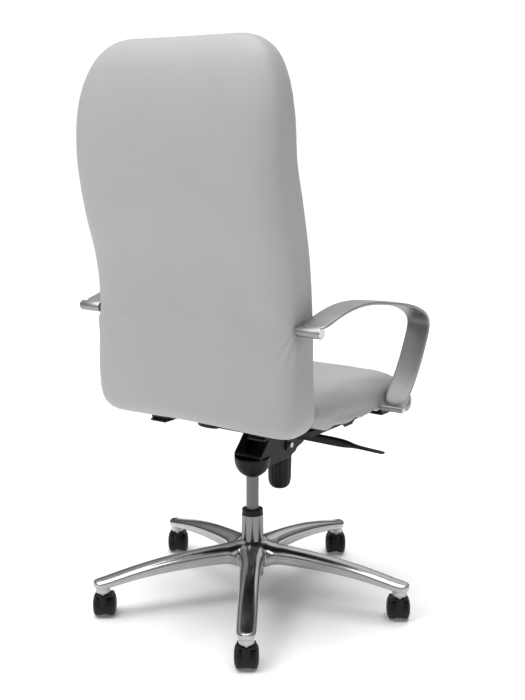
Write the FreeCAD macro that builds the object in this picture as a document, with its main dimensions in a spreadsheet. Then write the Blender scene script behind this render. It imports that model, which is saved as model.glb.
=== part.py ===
"""Swivel office chair: five-arm base on casters, gas lift, tilt mechanism, seat, tall back and loop arms.

The origin is on the column axis at floor level. +Z is up, the sitter faces -Y and the sitter's right is -X.
All lengths are millimetres and all angles are degrees.
"""

import FreeCAD, Part
import math
import os

from FreeCAD import Placement, Rotation, Vector

doc = FreeCAD.newDocument("office_chair")
sheet = doc.addObject("Spreadsheet::Sheet", "chair")

SIZES = {
    # base
    "caster_circle": 338,
    "first_arm_angle": 123.3,
    "hub_radius": 33,
    "hub_bottom": 84,
    "arm_top_at_hub": 140,
    "arm_top_drop": 48,
    "arm_underside_at_hub": 100,
    "arm_underside_drop": 23,
    "arm_root_width": 50,
    "arm_tip_width": 42,
    "socket_bottom": 62,
    "socket_top": 86,
    # casters
    "wheel_radius": 25,
    "wheel_gap": 13,
    "wheel_tread": 13,
    "wheel_dome": 5.6,
    "caster_trail": 20,
    "caster_heading": -145.1,
    "fender_radius": 29,
    "fender_wall": 2.6,
    "hood_top": 56,
    "hood_width": 38.7,
    "axle_radius": 4,
    "axle_end": 3,
    "stem_radius": 5.5,
    # gas lift column
    "tube_radius": 24.5,
    "tube_wall": 2,
    "tube_bottom": 64,
    "tube_top": 206,
    "collar_radius": 23.4,
    "collar_top": 218,
    "bush_bottom": 120,
    "cylinder_radius": 14,
    "cylinder_wall": 2,
    "cylinder_bottom": 142,
    "cylinder_top": 338,
    "rod_radius": 5,
    "running_gap": 0.05,
    # tilt mechanism
    "housing_width": 72,
    "housing_wall": 3,
    "housing_bottom": 296,
    "bowl_radius": 40,
    "pivot_ahead": 92,
    "pivot_height": 350,
    "pivot_radius": 6,
    "knob_ahead": 108,
    "knob_radius": 28,
    "knob_bottom": 238,
    "knob_top": 318,
    "bolt_radius": 5,
    "spring_radius": 14,
    "spring_wire": 2.5,
    "spring_length": 40,
    "lever_ahead": 50,
    "lever_height": 391,
    "lever_reach": 302,
    "lever_rod_radius": 6,
    "lever_play": 1.5,
    "lever_pin_radius": 2.5,
    "lever_pin_reach": 12.5,
    "lever_pin_out": 4,
    "lock_lever_height": 377,
    "lock_lever_reach": 180,
    # seat
    "plate_bottom": 434,
    "plate_thickness": 6,
    "board_thickness": 12,
    "seat_board_bottom": 440,
    "seat_half_width": 247,
    "seat_front": 266,
    "seat_rear": 106,
    "seat_underside": 452,
    "seat_top": 518,
    "seat_crown": 10,
    # back
    "back_half_width": 248.5,
    "back_bottom": 453,
    "back_top": 1214,
    "back_corner_start": 1000,
    "back_corner_width": 125,
    # arms
    "band_inner": 249,
    "band_width": 53,
    "band_thickness": 7,
    "rear_rod_radius": 10.5,
    "rear_rod_back": 203,
    "rear_rod_height": 677,
    "boss_radius": 21,
    "boss_ahead": 172,
    "boss_height": 468,
}
for row, (alias, amount) in enumerate(SIZES.items(), start=1):
    sheet.set(f"A{row}", alias)
    sheet.set(f"B{row}", str(amount))
    sheet.setAlias(f"B{row}", alias)
doc.recompute()

UPRIGHT = Rotation()
ALONG_X = Rotation(Vector(0, 1, 0), 90)
ALONG_Y = Rotation(Vector(1, 0, 0), -90)
CASTER_NAMES = ("rear_right", "right", "front", "left", "rear_left")
sub_parts = []


def mm(alias):
    """A driving dimension from the sheet."""
    return float(getattr(sheet, alias))


def bind(thing, **formulas):
    """Ties properties of an object to formulas over the sheet."""
    for name, formula in formulas.items():
        thing.setExpression(name, formula)
    return thing


def put(thing, x="0", y="0", z="0", turn=UPRIGHT):
    """Places an object, with its position tied to formulas over the sheet."""
    thing.Placement = Placement(Vector(), turn)
    for axis, formula in zip("xyz", (x, y, z)):
        thing.setExpression(".Placement.Base." + axis, formula)
    return thing


def cylinder(name, radius, height, x="0", y="0", z="0", turn=UPRIGHT):
    rod = bind(doc.addObject("Part::Cylinder", name), Radius=radius, Height=height)
    return put(rod, x, y, z, turn)


def cone(name, low_radius, high_radius, height, x="0", y="0", z="0", turn=UPRIGHT):
    taper = bind(doc.addObject("Part::Cone", name), Radius1=low_radius, Radius2=high_radius, Height=height)
    return put(taper, x, y, z, turn)


def box(name, size_x, size_y, size_z, x, y, z):
    block = bind(doc.addObject("Part::Box", name), Length=size_x, Width=size_y, Height=size_z)
    return put(block, x, y, z)


def fuse(name, *pieces):
    joined = doc.addObject("Part::MultiFuse", name)
    joined.Shapes = list(pieces)
    return joined


def cut(name, base, tool):
    result = doc.addObject("Part::Cut", name)
    result.Base = base
    result.Tool = tool
    return result


def group(name, *pieces):
    """Separate identical solids kept under one name."""
    several = doc.addObject("Part::Compound", name)
    several.Links = list(pieces)
    return several


def feature(name, shape):
    plain = doc.addObject("Part::Feature", name)
    plain.Shape = shape
    return plain


def sub_part(thing, name):
    """Names a finished piece and lists it for writing."""
    thing.Label = name
    sub_parts.append(thing)
    return thing


def sketch_on(body, name, role, edges):
    """A sketch of the given edges on one of the body's own origin planes."""
    sketch = body.newObject("Sketcher::SketchObject", name)
    plane = [face for face in body.Origin.OriginFeatures if face.Role == role][0]
    sketch.AttachmentSupport = [(plane, "")]
    sketch.MapMode = "FlatFace"
    sketch.addGeometry(edges, False)
    return sketch


def outline(corners):
    """Straight edges round a list of (across, up) corners."""
    points = [Vector(across, up, 0) for across, up in corners]
    return [Part.LineSegment(a, b) for a, b in zip(points, points[1:] + points[:1])]


def slab(name, role, edges, thickness):
    """A body padded evenly to both sides of an origin plane."""
    body = doc.addObject("PartDesign::Body", name)
    pad = body.newObject("PartDesign::Pad", name + "_pad")
    pad.Profile = sketch_on(body, name + "_sketch", role, edges)
    pad.SideType = "Symmetric"
    pad.setExpression("Length", thickness)
    body.Tip = pad
    return body


def turned(name, edges):
    """A body revolved about the sketch's vertical axis, from a half section in the XZ plane."""
    body = doc.addObject("PartDesign::Body", name)
    sketch = sketch_on(body, name + "_sketch", "XZ_Plane", edges)
    turn = body.newObject("PartDesign::Revolution", name + "_turn")
    turn.Profile = sketch
    turn.ReferenceAxis = (sketch, ["V_Axis"])
    turn.Angle = 360
    body.Tip = turn
    return body


# ---------------------------------------------------------------- base

def arm_section(reach):
    """Closed wire across a base arm at a distance from the column: crowned top, side ledge, narrow foot."""
    full = mm("caster_circle")
    top = mm("arm_top_at_hub") - mm("arm_top_drop") * (reach / full) ** 2.1
    low = mm("arm_underside_at_hub") - mm("arm_underside_drop") * (reach / full) ** 3.1
    half = (mm("arm_root_width") + (mm("arm_tip_width") - mm("arm_root_width")) * reach / full) / 2
    depth = top - low
    right = [(0.72 * half, low), (half, low + 0.34 * depth), (0.92 * half, low + 0.72 * depth)]
    left = [(-across, up) for across, up in reversed(right)]
    points = [Vector(reach, across, up) for across, up in right]
    other = [Vector(reach, across, up) for across, up in left]
    edges = [Part.LineSegment(a, b).toShape() for a, b in zip(points, points[1:])]
    edges.append(Part.Arc(points[-1], Vector(reach, 0, top), other[0]).toShape())
    edges += [Part.LineSegment(a, b).toShape() for a, b in zip(other, other[1:])]
    edges.append(Part.LineSegment(other[-1], points[0]).toShape())
    return Part.Wire(edges)


def base_arm(index):
    """One cast arm with the round socket that takes a caster's stem."""
    stations = [10, 90, 160, 220, 280, mm("caster_circle")]
    name = f"base_arm_{index}"
    spoke = feature(name, Part.makeLoft([arm_section(reach) for reach in stations], True, False))
    rise = "chair.socket_top - chair.socket_bottom"
    reach = "chair.caster_circle"
    socket = cylinder(name + "_socket", "chair.arm_tip_width / 2", rise, reach, z="chair.socket_bottom")
    dome = cone(name + "_dome", "chair.arm_tip_width / 2", "chair.arm_tip_width / 2 - 7", "6",
                reach, z="chair.socket_top")
    arm = fuse(name + "_whole", spoke, socket, dome)
    return put(arm, turn=Rotation(mm("first_arm_angle") + 72 * index, 0, 0))


def star_base():
    hub = cylinder("base_hub", "chair.hub_radius", "46", z="chair.hub_bottom")
    casting = fuse("base_casting", hub, *[base_arm(index) for index in range(5)])
    bores = [cylinder("base_column_bore", "chair.tube_radius", "200", z="20")]
    for index in range(5):
        angle = f"(chair.first_arm_angle + {72 * index})"
        bores.append(cylinder(f"base_stem_bore_{index}", "chair.stem_radius + chair.running_gap", "24",
                              f"chair.caster_circle * cos{angle}", f"chair.caster_circle * sin{angle}",
                              "chair.socket_bottom - 2"))
    sub_part(cut("star_base", casting, fuse("base_bores", *bores)), "star_base")


# ---------------------------------------------------------------- casters

def wheel_outline():
    """Half section of a wheel, its inner face on the sketch's horizontal axis and its dome above."""
    bore = mm("axle_radius") + mm("running_gap")
    radius = mm("wheel_radius")
    tread = mm("wheel_tread")
    dome = mm("wheel_dome")
    soft = 1.5
    low_edge = [(bore, 0), (radius - soft, 0), (radius, soft), (radius, tread)]
    edges = [Part.LineSegment(Vector(*a, 0), Vector(*b, 0)) for a, b in zip(low_edge, low_edge[1:])]
    rim = Vector(radius, tread, 0)
    middle = Vector(0.72 * radius, tread + 0.72 * dome, 0)
    crown = Vector(bore, tread + dome, 0)
    edges.append(Part.Arc(rim, middle, crown))
    edges.append(Part.LineSegment(crown, Vector(bore, 0, 0)))
    return edges


def caster_hood(name):
    """Web between the wheels, curved fender over their treads and the block that holds the stem."""
    trail = "chair.caster_trail"
    centre = "chair.wheel_radius"
    half = "chair.hood_width / 2"
    outer = cylinder(name + "_outer", "chair.fender_radius", "chair.hood_width", "-" + half, trail, centre,
                     ALONG_X)
    web_half = "(chair.wheel_gap / 2 - 0.5)"
    inner = "chair.fender_radius - chair.fender_wall"
    length = f"{half} + 1 - {web_half}"
    hollows, wheel_room = [], []
    for side, start in (("left", web_half), ("right", f"-{half} - 1")):
        spot = (length, start, trail, centre, ALONG_X)
        hollows.append(cylinder(f"{name}_{side}_hollow", inner, *spot))
        wheel_room.append(cylinder(f"{name}_{side}_room", "chair.wheel_radius + 0.8", *spot))
    opening = box(name + "_open_rear", "chair.hood_width + 2", "40", "40", f"-{half} - 1",
                  "chair.caster_trail", "-8")
    below = box(name + "_open_below", "chair.hood_width + 2", "80", "19.5", f"-{half} - 1", "-20", "-10")
    fender = cut(name + "_fender", outer, fuse(name + "_spaces", *hollows, opening, below))
    block = cylinder(name + "_block", "9.5", "chair.hood_top - chair.wheel_radius - 4",
                     z="chair.wheel_radius + 4")
    cap = box(name + "_cap", "chair.hood_width", "18", "4", "-" + half, "-9", "chair.hood_top - 4")
    whole = fuse(name + "_whole", fender, block, cap)
    stem_hole = cylinder(name + "_stem_hole", "chair.stem_radius", "40", z="chair.wheel_radius + 10")
    axle_hole = cylinder(name + "_axle_hole", "chair.axle_radius", "60", "-30", trail, centre, ALONG_X)
    return cut(name, whole, fuse(name + "_holes", stem_hole, axle_hole, *wheel_room))


def caster(index, where):
    """A twin-wheel caster; its pieces are built about the stem's axis and then put under their arm."""
    prefix = f"caster_{where}_"
    angle = f"(chair.first_arm_angle + {72 * index})"
    spot = (f"chair.caster_circle * cos{angle}", f"chair.caster_circle * sin{angle}")
    heading = Rotation(mm("caster_heading"), 0, 0)
    trail = "chair.caster_trail"
    shaft = cylinder(prefix + "stem_shaft", "chair.stem_radius", "46", z="chair.wheel_radius + 10")
    ring = cylinder(prefix + "stem_ring", "chair.stem_radius + 1.5", "2", z="chair.hood_top")
    axle = cylinder(prefix + "axle_shaft", "chair.axle_radius", "chair.hood_width + 2 * chair.axle_end",
                    "-chair.hood_width / 2 - chair.axle_end", trail, "chair.wheel_radius", ALONG_X)
    pieces = {
        "stem": fuse(prefix + "stem", shaft, ring),
        "hood": caster_hood(prefix + "hood"),
        "axle": group(prefix + "axle", axle),
    }
    for name, piece in pieces.items():
        sub_part(put(piece, spot[0], spot[1], turn=heading), prefix + name)
    wheel_offsets = {"wheel_left": "chair.wheel_gap / 2", "wheel_right": "-chair.wheel_gap / 2"}
    for name, offset in wheel_offsets.items():
        wheel = turned(prefix + name, wheel_outline())
        tip = 90 if name == "wheel_left" else -90
        turn = heading.multiply(Rotation(Vector(0, 1, 0), tip))
        along = f"({offset})"
        facing = "(chair.caster_heading)"
        x = f"{spot[0]} + {along} * cos{facing} - chair.caster_trail * sin{facing}"
        y = f"{spot[1]} + {along} * sin{facing} + chair.caster_trail * cos{facing}"
        sub_part(put(wheel, x, y, "chair.wheel_radius", turn), prefix + name)


# ---------------------------------------------------------------- gas lift column

def ring(name, outer, inner, height, z):
    """A plain ring on the column axis."""
    body = cylinder(name + "_outer", outer, height, z=z)
    return cut(name, body, cylinder(name + "_bore", inner, height, z=z))


def column():
    bore = "chair.tube_radius - chair.tube_wall"
    tube = cylinder("tube_outer", "chair.tube_radius", "chair.tube_top - chair.tube_bottom",
                    z="chair.tube_bottom")
    inside = cylinder("tube_inside", bore, "chair.tube_top", z="chair.tube_bottom + 4")
    foot_hole = cylinder("tube_foot_hole", "chair.rod_radius + 0.5", "20", z="chair.tube_bottom - 2")
    sub_part(cut("column_outer_tube", tube, fuse("tube_spaces", inside, foot_hole)), "column_outer_tube")

    sleeve = cylinder("bush_sleeve", bore, "chair.tube_top - chair.bush_bottom", z="chair.bush_bottom")
    collar = cylinder("bush_collar", "chair.collar_radius", "chair.collar_top - chair.tube_top",
                      z="chair.tube_top")
    way = cylinder("bush_way", "chair.cylinder_radius + chair.running_gap", "200", z="chair.bush_bottom - 5")
    sub_part(cut("column_guide_bush", fuse("bush_body", sleeve, collar), way), "column_guide_bush")

    clear = "chair.rod_radius + 0.6"
    sub_part(ring("retaining_clip", "9", clear, "2", "chair.tube_bottom - 2.4"), "retaining_clip")
    bearing = ring("thrust_bearing", "11", "chair.rod_radius", "6", "chair.tube_bottom + 4.4")
    sub_part(bearing, "thrust_bearing")

    shank = cylinder("rod_shank", "chair.rod_radius", "145", z="chair.tube_bottom - 2")
    piston = cylinder("rod_piston", "chair.cylinder_radius - chair.cylinder_wall - 0.1", "10",
                      z="chair.tube_bottom + 133")
    sub_part(fuse("piston_rod", shank, piston), "piston_rod")

    tall = "chair.cylinder_top - chair.cylinder_bottom"
    wall = cylinder("cylinder_wall", "chair.cylinder_radius", tall, z="chair.cylinder_bottom")
    room = cylinder("cylinder_room", "chair.cylinder_radius - chair.cylinder_wall", tall + " - 36",
                    z="chair.cylinder_bottom + 8")
    seal = cylinder("cylinder_seal", "chair.rod_radius + chair.running_gap", "12",
                    z="chair.cylinder_bottom - 2")
    pin_way = cylinder("cylinder_pin_way", "4.05", "22", z="chair.cylinder_top - 20")
    spaces = fuse("cylinder_spaces", room, seal, pin_way)
    sub_part(cut("gas_cylinder", wall, spaces), "gas_cylinder")
    pin = cylinder("release_pin", "4", "18", z="chair.cylinder_top - 12")
    sub_part(pin, "release_pin")


# ---------------------------------------------------------------- tilt mechanism

def bowl_outline():
    """Half section of the round lower casting that grips the cylinder's tapered top."""
    bore = mm("cylinder_radius")
    radius = mm("bowl_radius")
    low = mm("housing_bottom")
    high = mm("cylinder_top") + 2
    rim = Vector(radius, high - 8, 0)
    return [
        Part.LineSegment(Vector(bore, low, 0), Vector(bore + 3, low, 0)),
        Part.Arc(Vector(bore + 3, low, 0), Vector(0.82 * radius, low + 14, 0), rim),
        Part.LineSegment(rim, Vector(radius, high, 0)),
        Part.LineSegment(Vector(radius, high, 0), Vector(bore, high, 0)),
        Part.LineSegment(Vector(bore, high, 0), Vector(bore, low, 0)),
    ]


def hinge_lugs(name, start, level):
    """Two small ears outside a wall of the housing that hold a lever's cross pin."""
    ears = []
    for end, y in (("front", "-chair.lever_ahead - chair.lever_pin_reach"),
                   ("rear", "-chair.lever_ahead + chair.lever_pin_reach - 3")):
        ears.append(box(f"{name}_{end}", "chair.lever_pin_out + 5", "3", "10", start, y, f"{level} - 5"))
    return ears


def cross_pin(name, radius, x, level):
    """A pin along Y through a lever's rod, or the hole for one."""
    front = "-chair.lever_ahead - chair.lever_pin_reach"
    return cylinder(name, radius, "2 * chair.lever_pin_reach", x, front, level, ALONG_Y)


RIGHT_PIN = "-chair.housing_width / 2 - chair.lever_pin_out"
LEFT_PIN = "chair.housing_width / 2 + chair.lever_pin_out"


def housing():
    """Pressed steel box: its rear bowl clamps the cylinder, its front carries the pivot and tension boss."""
    side = [(-30, 318), (10, 318), (20, 328), (20, 347), (-34, 404), (-85, 418), (-125, 418),
            (-152, 362), (-156, 342), (-128, 334), (-121, 327), (-99, 320)]
    hollow = [(-30, 321), (8, 321), (17, 330), (17, 345.5), (-37, 402.5), (-37, 430), (-128, 430),
              (-128, 404), (-149, 362), (-152, 345), (-127, 337), (-119, 330), (-98, 323)]
    shell = slab("housing_shell", "YZ_Plane", outline(side), "chair.housing_width")
    space = slab("housing_space", "YZ_Plane", outline(hollow), "chair.housing_width - 2 * chair.housing_wall")
    bowl = turned("housing_bowl", bowl_outline())
    tension_boss = cylinder("housing_tension_boss", "20", "14", y="-chair.knob_ahead", z="chair.knob_top + 4")
    lugs = hinge_lugs("housing_lever_lug", f"{RIGHT_PIN} - 4.5", "chair.lever_height")
    lugs += hinge_lugs("housing_lock_lug", f"{LEFT_PIN} - 4.5", "chair.lock_lever_height")
    body = fuse("housing_body", cut("housing_box", shell, space), bowl, tension_boss, *lugs)
    taper = cylinder("housing_taper", "chair.cylinder_radius", "100", z="chair.housing_bottom - 10")
    across = "chair.housing_width + 20"
    shaft_way = cylinder("housing_shaft_way", "chair.pivot_radius + 2", across,
                         "-chair.housing_width / 2 - 10", "-chair.pivot_ahead", "chair.pivot_height", ALONG_X)
    bolt_way = cylinder("housing_bolt_way", "chair.bolt_radius", "80", y="-chair.knob_ahead",
                        z="chair.knob_top - 10")
    play = "chair.lever_rod_radius + chair.lever_play"
    lever_way = cylinder("housing_lever_way", play, "20", "-chair.housing_width / 2 - 10",
                         "-chair.lever_ahead", "chair.lever_height", ALONG_X)
    lock_way = cylinder("housing_lock_way", play, "20", "chair.housing_width / 2 - 10",
                        "-chair.lever_ahead", "chair.lock_lever_height", ALONG_X)
    pin_hole = "chair.lever_pin_radius + chair.running_gap"
    pin_ways = [cross_pin("housing_lever_pin_way", pin_hole, RIGHT_PIN, "chair.lever_height"),
                cross_pin("housing_lock_pin_way", pin_hole, LEFT_PIN, "chair.lock_lever_height")]
    holes = fuse("housing_holes", taper, shaft_way, bolt_way, lever_way, lock_way, *pin_ways)
    sub_part(cut("mechanism_housing", body, holes), "mechanism_housing")


def pivot():
    """The recline shaft turns in two plastic bushes set in the housing's walls."""
    length = "chair.housing_width + 16"
    shaft = cylinder("pivot_shaft", "chair.pivot_radius", length, "-(chair.housing_width + 16) / 2",
                     "-chair.pivot_ahead", "chair.pivot_height", ALONG_X)
    sub_part(shaft, "pivot_shaft")
    bushes = []
    for side, start in (("right", "-chair.housing_width / 2"), ("left", "chair.housing_width / 2 - 5")):
        spot = (start, "-chair.pivot_ahead", "chair.pivot_height", ALONG_X)
        sleeve = cylinder(f"bush_{side}_sleeve", "chair.pivot_radius + 2", "5", *spot)
        way = cylinder(f"bush_{side}_way", "chair.pivot_radius + chair.running_gap", "5", *spot)
        bushes.append(cut(f"bush_{side}", sleeve, way))
    sub_part(group("pivot_bushes", *bushes), "pivot_bushes")


def knob_outline():
    """Half section of the tension knob: a deep cup with a rounded lower end and a bore for the bolt."""
    radius = mm("knob_radius")
    low = mm("knob_bottom")
    high = mm("knob_top")
    bore = mm("bolt_radius") + mm("running_gap")
    round_start = low + 24
    round_end = 12
    wall = 4
    side = Vector(radius - 1.5, round_start, 0)
    edges = [Part.LineSegment(Vector(bore, low, 0), Vector(round_end, low, 0)),
             Part.Arc(Vector(round_end, low, 0), Vector(radius - 5.6, low + 7, 0), side),
             Part.LineSegment(side, Vector(radius, high, 0))]
    floor = round_start + 4
    inner = [(radius, high), (radius - wall, high), (radius - wall - 2, floor), (bore, floor), (bore, low)]
    edges += [Part.LineSegment(Vector(*a, 0), Vector(*b, 0)) for a, b in zip(inner, inner[1:])]
    return edges


def tension():
    """Spring, bolt and hand knob that set how hard the seat leans back."""
    here = "-chair.knob_ahead"
    cup = put(turned("knob_cup", knob_outline()), y=here)
    flutes = []
    for index in range(12):
        angle = f"({30 * index})"
        reach = "(chair.knob_radius + 3)"
        flutes.append(cylinder(f"knob_flute_{index}", "4.2", "100", f"{reach} * cos{angle}",
                               f"{here} + {reach} * sin{angle}", "chair.knob_bottom - 10"))
    sub_part(cut("tension_knob", cup, fuse("knob_flutes", *flutes)), "tension_knob")

    shank = cylinder("bolt_shank", "chair.bolt_radius", "142", y=here, z="chair.knob_bottom + 2")
    head = cylinder("bolt_head", "9", "5", y=here, z="chair.knob_bottom + 28.4")
    nut = cylinder("bolt_nut", "9", "8", y=here, z="chair.knob_bottom + 132")
    sub_part(fuse("tension_bolt", shank, head, nut), "tension_bolt")

    coil = mm("spring_radius")
    path = Part.makeHelix(9, mm("spring_length"), coil)
    circle = Part.Wire(Part.makeCircle(mm("spring_wire"), Vector(coil, 0, 0), Vector(0, 1, 0)))
    spring = feature("tilt_spring", Part.Wire(path).makePipeShell([circle], True, True))
    sub_part(put(spring, y=here, z="chair.knob_bottom + 36"), "tilt_spring")


def height_lever():
    """Right-hand lever: thick grip arm, thin blade outside, and a finger inside over the release pin."""
    ahead = "-chair.lever_ahead"
    level = "chair.lever_height"
    root = "chair.housing_width / 2"
    journal = cylinder("lever_journal", "chair.lever_rod_radius", "70", f"-{root} - 30", ahead, level,
                       ALONG_X)
    inner = box("lever_inner", f"{root} - 4", "10", "8", f"-{root} + 4", f"{ahead} - 5", f"{level} - 4")
    reach = mm("lever_reach")
    high = mm("lever_height")
    back_end = -mm("lever_ahead")
    pin_top = mm("cylinder_top") + 7
    slope = [(back_end - 5, high - 4), (back_end - 5, high + 4), (back_end + 5, high + 4), (5, pin_top + 10),
             (5, pin_top), (-5, pin_top)]
    finger = put(slab("lever_finger", "YZ_Plane", outline(slope), "10"), x="-1")
    grip = [(-60, high - 8), (-60, high + 10), (-205, high + 9), (-232, high), (-reach, high - 4),
            (-reach, high - 7), (-232, high - 4), (-205, high - 10)]
    arm = put(slab("lever_arm", "XZ_Plane", outline(grip), "12"), y=ahead)
    blade_outline = [(-214, -7), (-214, 7), (-reach + 4, 9), (-reach, 6), (-reach, -6), (-reach + 4, -9)]
    blade = put(slab("lever_blade", "XY_Plane", outline(blade_outline), "3"), y=ahead, z=f"{level} - 5.4")
    pin = cross_pin("lever_pin", "chair.lever_pin_radius", RIGHT_PIN, level)
    sub_part(fuse("height_lever", journal, inner, finger, arm, blade, pin), "height_lever")


def tilt_lock_lever():
    """Left-hand lever that locks the recline: a short rod with a rounded grip."""
    ahead = "-chair.lever_ahead"
    level = "chair.lock_lever_height"
    root = "chair.housing_width / 2"
    rod_length = f"chair.lock_lever_reach - 40 - {root}"
    journal = cylinder("lock_journal", "chair.lever_rod_radius", rod_length, f"{root} - 8", ahead, level,
                       ALONG_X)
    grip = cylinder("lock_grip", "10", "50", "chair.lock_lever_reach - 50", ahead, level, ALONG_X)
    end = doc.addObject("Part::Sphere", "lock_end")
    end = put(bind(end, Radius="10"), "chair.lock_lever_reach", ahead, level)
    pin = cross_pin("lock_pin", "chair.lever_pin_radius", LEFT_PIN, level)
    sub_part(fuse("tilt_lock_lever", journal, grip, end, pin), "tilt_lock_lever")


SCREW_SPOTS = [("-85", "-115"), ("85", "-115"), ("-85", "95"), ("85", "95")]


def seat_plate():
    """Steel plate under the seat, with two ears that hang down to the recline shaft."""
    top = box("plate_top", "200", "240", "chair.plate_thickness", "-100", "-130", "chair.plate_bottom")
    ahead = -mm("pivot_ahead")
    pivot_z = mm("pivot_height")
    high = mm("plate_bottom") + 1
    ear = [(ahead - 14, pivot_z - 10), (ahead + 14, pivot_z - 10), (ahead + 12, high), (ahead - 40, high)]
    pieces = [top]
    for side, sign in (("right", "-"), ("left", "")):
        centre = f"{sign}(chair.housing_width / 2 + 2.5)"
        pieces.append(put(slab(f"plate_ear_{side}", "YZ_Plane", outline(ear), "3"), x=centre))
    plate = fuse("plate_whole", *pieces)
    shaft = cylinder("plate_shaft_hole", "chair.pivot_radius", "200", "-100", "-chair.pivot_ahead",
                     "chair.pivot_height", ALONG_X)
    screws = [cylinder(f"plate_screw_hole_{i}", "3", "20", x, y, "chair.plate_bottom - 5")
              for i, (x, y) in enumerate(SCREW_SPOTS)]
    sub_part(cut("seat_plate", plate, fuse("plate_holes", shaft, *screws)), "seat_plate")


def seat_screws():
    """Four screws up through the seat plate into the seat board."""
    screws = []
    for i, (x, y) in enumerate(SCREW_SPOTS):
        head = cylinder(f"screw_head_{i}", "6", "4", x, y, "chair.plate_bottom - 4")
        shank = cylinder(f"screw_shank_{i}", "3", "15", x, y, "chair.plate_bottom")
        screws.append(fuse(f"screw_{i}", head, shank))
    sub_part(group("seat_plate_screws", *screws), "seat_plate_screws")


# ---------------------------------------------------------------- side view of the back

def spline(points):
    curve = Part.BSplineCurve()
    curve.interpolate(points)
    return curve


def height_curve(pairs):
    """A smooth (depth, height) line in the side plane, read as depth at a height."""
    curve = spline([Vector(0, depth, height) for depth, height in pairs])

    def depth_at(height):
        level = Part.Plane(Vector(0, 0, height), Vector(0, 0, 1))
        return curve.intersect(level)[0][0].Y

    return depth_at


REAR_LINE = [(236, 430), (250, 500), (254, 560), (247, 650), (242, 723), (252, 790), (279, 870), (295, 950),
             (297, 1040), (288, 1120), (263, 1215)]
FRONT_LINE = [(123, 430), (126, 560), (129, 660), (136, 730), (148, 820), (171, 919), (192, 990), (196, 1060),
              (193, 1130), (184, 1215)]
BOARD_LINE = [(168, 430), (186, 540), (203, 677), (214, 800), (238, 900), (250, 1000), (244, 1170)]


def curved_board(name, line, thickness, half_width, low, high):
    """A board of constant thickness bent to a side line, cut off level at its lower and upper edges."""
    depth_at = height_curve(line)
    steps = 10
    heights = [low + (high - low) * step / steps for step in range(steps + 1)]
    front = [Vector(-half_width, depth_at(height) - thickness / 2, height) for height in heights]
    rear = [Vector(-half_width, depth_at(height) + thickness / 2, height) for height in heights]
    edges = [spline(front).toShape(), Part.LineSegment(front[-1], rear[-1]).toShape(),
             spline(rear).toShape(), Part.LineSegment(rear[0], front[0]).toShape()]
    face = Part.Face(Part.Wire(Part.__sortEdges__(edges)))
    return feature(name, face.extrude(Vector(2 * half_width, 0, 0)))


# ---------------------------------------------------------------- cushions

def rounded_section(half, front, rear, height):
    """Level section of the back: crowned front and rear, with rounded corners."""
    front_crown, rear_crown = 10, 8
    rear_face = rear - rear_crown
    depth = rear_face - front
    front_round = min(14, 0.28 * depth)
    rear_round = min(34, 0.6 * depth)

    def corner(side, edge, radius, inward):
        wall = Vector(side * half, edge + inward * radius, height)
        bend = Vector(side * (half - 0.3 * radius), edge + inward * 0.3 * radius, height)
        face = Vector(side * (half - radius), edge, height)
        return wall, bend, face

    rear_left = corner(-1, rear_face, rear_round, -1)
    rear_right = corner(1, rear_face, rear_round, -1)
    front_left = corner(-1, front, front_round, 1)
    front_right = corner(1, front, front_round, 1)
    edges = [
        Part.Arc(*rear_left),
        Part.Arc(rear_left[2], Vector(0, rear, height), rear_right[2]),
        Part.Arc(*reversed(rear_right)),
        Part.LineSegment(rear_right[0], front_right[0]),
        Part.Arc(*front_right),
        Part.Arc(front_right[2], Vector(0, front - front_crown, height), front_left[2]),
        Part.Arc(*reversed(front_left)),
        Part.LineSegment(front_left[0], rear_left[0]),
    ]
    return Part.Wire([edge.toShape() for edge in edges])


def back_cushion_blank():
    """Lofted body of the back: S-shaped from the side, with broad round shoulders from behind."""
    rear_at = height_curve(REAR_LINE)
    front_at = height_curve(FRONT_LINE)
    low = mm("back_bottom")
    high = mm("back_top")
    start = mm("back_corner_start")
    sections = []
    for height in [low, low + 6, low + 20, low + 42, 560, 640, 723, 800, 870, 930, start, 1060, 1110, 1150,
                   1180, 1198, 1209, high]:
        half = mm("back_half_width")
        if height > start:
            rise = (height - start) / (high + 2 - start)
            half += mm("back_corner_width") * ((1 - rise ** 2.4) ** (1 / 2.4) - 1)
        near_end = min(height - low, high - height)
        rounding = 42 if height - low < high - height else 50
        inset = 0
        if near_end < rounding:
            inset = 0.62 * rounding * (1 - math.sqrt(1 - (1 - near_end / rounding) ** 2))
        front = front_at(height) + 0.6 * inset
        rear = rear_at(height) - inset
        sections.append(rounded_section(half - 0.4 * inset, front, rear, height))
    return feature("back_blank", Part.makeLoft(sections, True, True))


def back_parts():
    """Plywood back board inside the cushion, with two steel brackets that tie it to the seat board."""
    board = curved_board("back_board", BOARD_LINE, mm("board_thickness"), 200, 458, 1150)
    sub_part(board, "back_board")
    forward = [(depth - mm("board_thickness") / 2 - 3, height) for depth, height in BOARD_LINE]
    straps = []
    for side, x in (("right", -128), ("left", 128)):
        upright = curved_board(f"strap_{side}_upright", forward, 4, 20, 436, 620)
        upright.Placement = Placement(Vector(x, 0, 0), UPRIGHT)
        foot = box(f"strap_{side}_foot", "40", "138", "4", str(x - 20), "30", "chair.seat_board_bottom - 4")
        straps.append(fuse(f"strap_{side}", upright, foot))
    sub_part(group("back_brackets", *straps), "back_brackets")


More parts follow.
